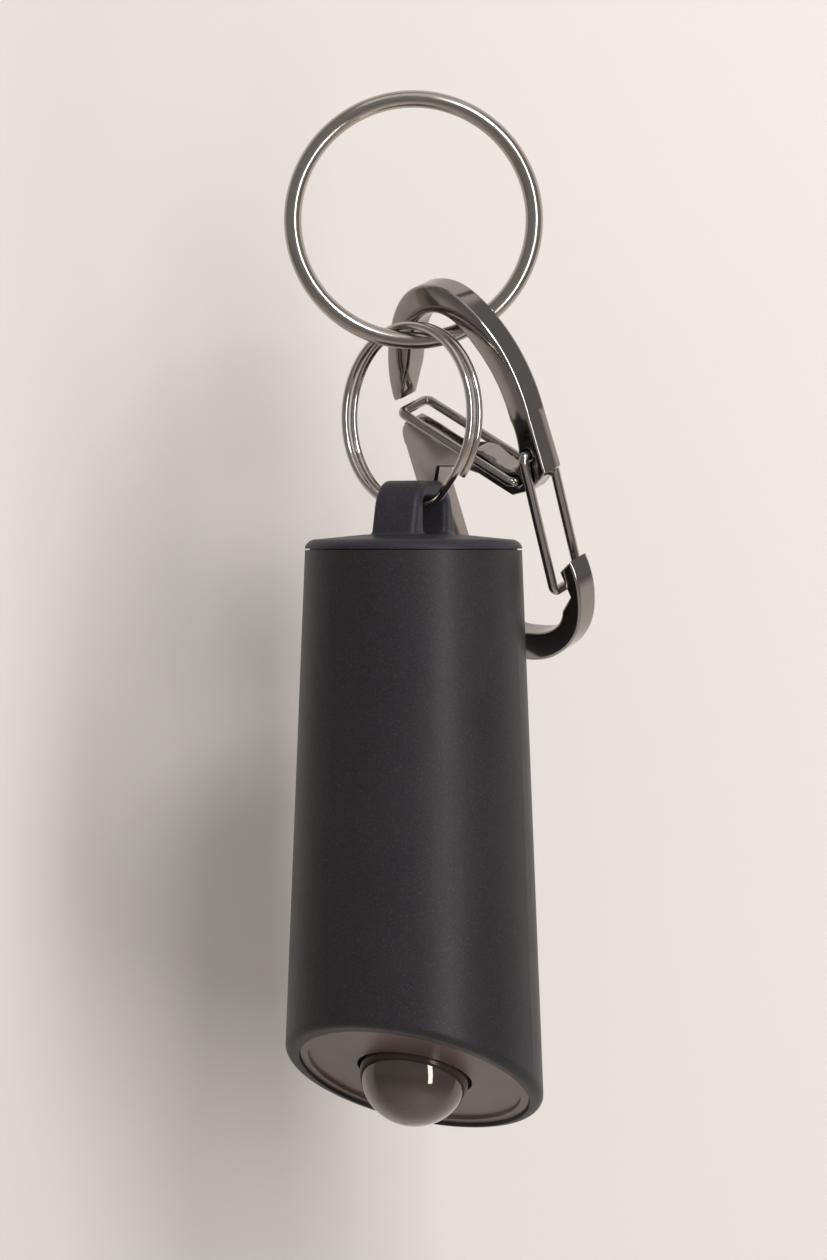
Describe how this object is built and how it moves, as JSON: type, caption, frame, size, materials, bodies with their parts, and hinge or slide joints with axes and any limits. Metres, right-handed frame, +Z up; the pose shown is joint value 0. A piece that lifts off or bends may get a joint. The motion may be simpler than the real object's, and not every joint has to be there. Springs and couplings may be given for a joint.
{
  "type": "personal safety alarm",
  "caption": "Pull-to-sound personal alarm: tapered body, slant-cut sounder end with dome light, pull cap with pin and bail, hung by a split ring from a key ring beside an S-carabiner.",
  "frame": {"origin": "the point the key ring hangs from: the top of the inside of its wire, on the alarm's axis", "axes": "+Z up along the alarm's axis, -Y towards the short side of the slant-cut end, +X to the right seen from there"},
  "size_m": [0.0331, 0.0336, 0.1198],
  "materials": {
    "key_ring_steel": "satin, handled",
    "split_ring_steel": "bright nickel",
    "carabiner_steel": "polished gunmetal",
    "gate_wire": "bright wire",
    "cap_plastic": "soft-touch satin",
    "pin_steel": "smooth",
    "seal_rubber": "matte",
    "body_plastic": "soft-touch with a very fine sparkle",
    "cover_plastic": "satin taupe",
    "dome_plastic": "polished, smoked",
    "lamp": "clear",
    "reflector_metal": "mirror coated",
    "board": "solder mask",
    "piezo_brass": "thin disc",
    "chassis_plastic": "moulded",
    "socket_plastic": "natural acetal",
    "contact_brass": "sprung strip",
    "contact_steel": "nickel plated",
    "coil_ferrite": "ferrite",
    "chip": "moulded",
    "cell_sleeve": "printed sleeve left plain"
  },
  "bodies": {
    "key_ring": {"key_ring": "key_ring_steel"},
    "split_ring": {"split_ring": "split_ring_steel"},
    "cap": {"pull_cap": "cap_plastic", "pull_pin": "pin_steel", "cap_seal": "seal_rubber"},
    "alarm": {"body_shell": "body_plastic", "sounder_cover": "cover_plastic", "dome_lens": "dome_plastic", "strobe_led": "lamp", "reflector": "reflector_metal", "led_board": "board", "piezo_disc": "piezo_brass", "sound_chamber": "chassis_plastic", "bulkhead": "chassis_plastic", "bulkhead_screws": "pin_steel", "pin_socket": "socket_plastic", "plunger_spring": "pin_steel", "switch_contacts": "contact_brass", "chassis": "chassis_plastic", "circuit_board": "board", "boost_coil": "coil_ferrite", "controller_chip": "chip", "battery_cell": "cell_sleeve", "battery_contact_top": "contact_steel", "battery_contact_low": "contact_steel"},
    "plunger": {"switch_plunger": "socket_plastic"},
    "carabiner": {"carabiner_frame": "carabiner_steel"},
    "upper_gate": {"upper_gate": "gate_wire"},
    "lower_gate": {"lower_gate": "gate_wire"}
  },
  "joints": [
    {"name": "split_ring_swing", "type": "hinge", "parent": "key_ring", "child": "split_ring", "pos_m": [0, 0, -0.0265], "axis": [0.9205, 0.3907, 0], "range_deg": [-20, 0]},
    {"name": "alarm_swing", "type": "hinge", "parent": "split_ring", "child": "cap", "pos_m": [-0.00016, -0.00037, -0.0453], "axis": [0.9205, -0.3907, 0], "range_deg": [-20, 0]},
    {"name": "pull", "type": "slide", "parent": "cap", "child": "alarm", "axis": [0, 0, -1], "range_m": [0, 0.014]},
    {"name": "plunger_rise", "type": "slide", "parent": "alarm", "child": "plunger", "axis": [0, 0, 1], "range_m": [0, 0.0012], "deforming": ["plunger_spring"]},
    {"name": "carabiner_swing", "type": "hinge", "parent": "key_ring", "child": "carabiner", "pos_m": [0.00433, 0.00184, -0.02567], "axis": [0.865, 0.3672, 0.342], "range_deg": [0, 25]},
    {"name": "upper_gate_push", "type": "hinge", "parent": "carabiner", "child": "upper_gate", "pos_m": [0.01073, 0.00462, -0.04245], "axis": [0.3737, 0.8483, 0.3752], "range_deg": [0, 20], "stiffness_Nm_per_rad": 0.05, "springref_deg": -11.46},
    {"name": "lower_gate_push", "type": "hinge", "parent": "carabiner", "child": "lower_gate", "pos_m": [0.0129, 0.00239, -0.03958], "axis": [0.3737, 0.8483, 0.3752], "range_deg": [0, 14], "stiffness_Nm_per_rad": 0.05, "springref_deg": -11.46}
  ],
  "couplings": [
    {"joint": "plunger_rise", "follows": "pull", "ratio": 0.0857}
  ]
}
